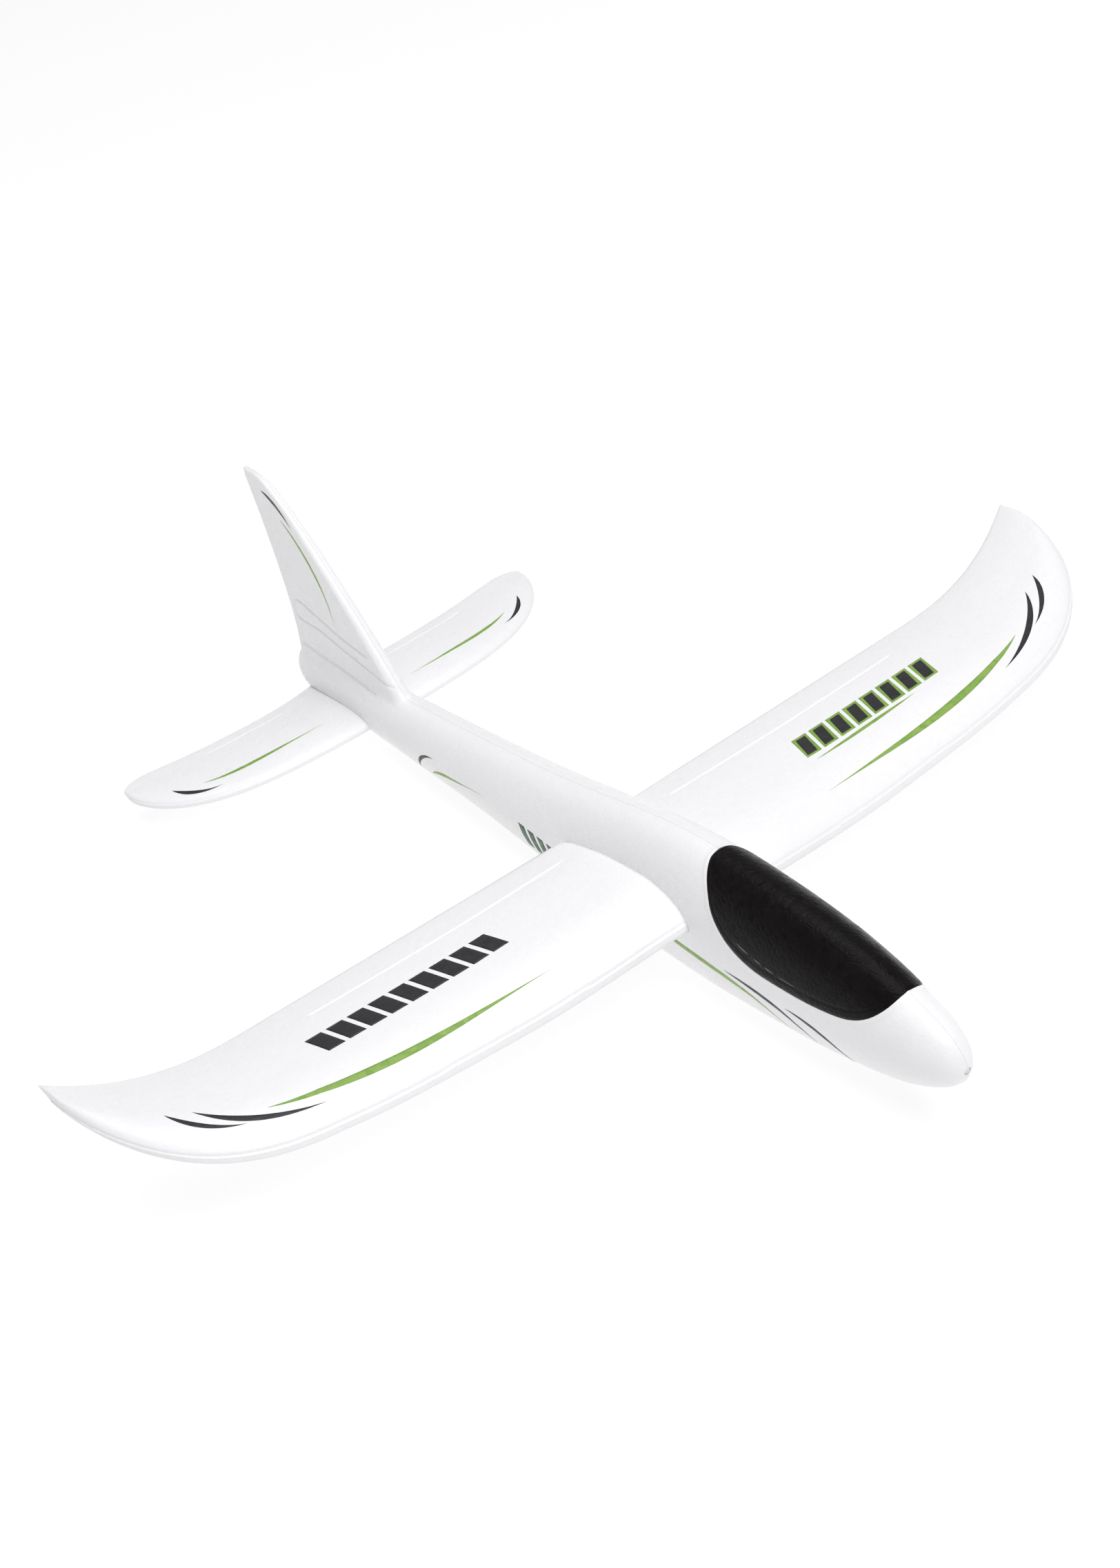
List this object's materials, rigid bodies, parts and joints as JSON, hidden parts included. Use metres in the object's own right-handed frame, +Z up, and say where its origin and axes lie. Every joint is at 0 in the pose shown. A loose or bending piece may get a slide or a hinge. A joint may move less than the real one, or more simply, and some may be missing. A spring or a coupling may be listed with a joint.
{
  "type": "hand launch foam glider",
  "caption": "Hand-launched foam glider with plug-in wing panels, a tailplane in a boom slot, a moulded fin and a black canopy cap.",
  "frame": {"origin": "on the ground below the belly, midway along the nose-to-fin length and midway across the wings", "axes": "+X towards the pilot's left wing tip, +Y towards the tail (the nose points to -Y), +Z up"},
  "size_m": [0.48, 0.452, 0.1245],
  "materials": {
    "white_foam": "moulded bead foam, pearly semi-gloss",
    "black_foam": "painted bead foam, semi-gloss black",
    "green_film": "satin lime green film",
    "dark_green_film": "satin dark green film",
    "black_film": "satin black film",
    "steel": "plain cut rod"
  },
  "bodies": {
    "fuselage": {"fuselage_left_half": "white_foam", "fuselage_right_half": "white_foam", "canopy": "black_foam", "nose_weight": "steel", "fin_green_stripes": "green_film", "left_side_green_stripes": "green_film", "right_side_green_stripes": "green_film", "fin_black_stripes": "black_film", "left_side_black_stripes": "black_film", "right_side_black_stripes": "black_film", "left_side_bars": "dark_green_film", "right_side_bars": "dark_green_film"},
    "left_wing_panel": {"left_wing": "white_foam", "left_wing_green_stripe": "green_film", "left_wing_bar_rims": "green_film", "left_wing_black_stripes": "black_film", "left_wing_bars": "black_film"},
    "right_wing_panel": {"right_wing": "white_foam", "right_wing_green_stripe": "green_film", "right_wing_black_stripes": "black_film", "right_wing_bars": "black_film"},
    "tail_panel": {"tailplane": "white_foam", "tailplane_green_stripes": "green_film", "tailplane_black_stripes": "black_film"}
  },
  "joints": [
    {"name": "left_wing_slide", "type": "slide", "parent": "fuselage", "child": "left_wing_panel", "axis": [1, 0, 0], "range_m": [0, 0.03]},
    {"name": "right_wing_slide", "type": "slide", "parent": "fuselage", "child": "right_wing_panel", "axis": [-1, 0, 0], "range_m": [0, 0.03]},
    {"name": "tailplane_slide", "type": "slide", "parent": "fuselage", "child": "tail_panel", "axis": [1, 0, 0], "range_m": [-0.012, 0.012]}
  ]
}
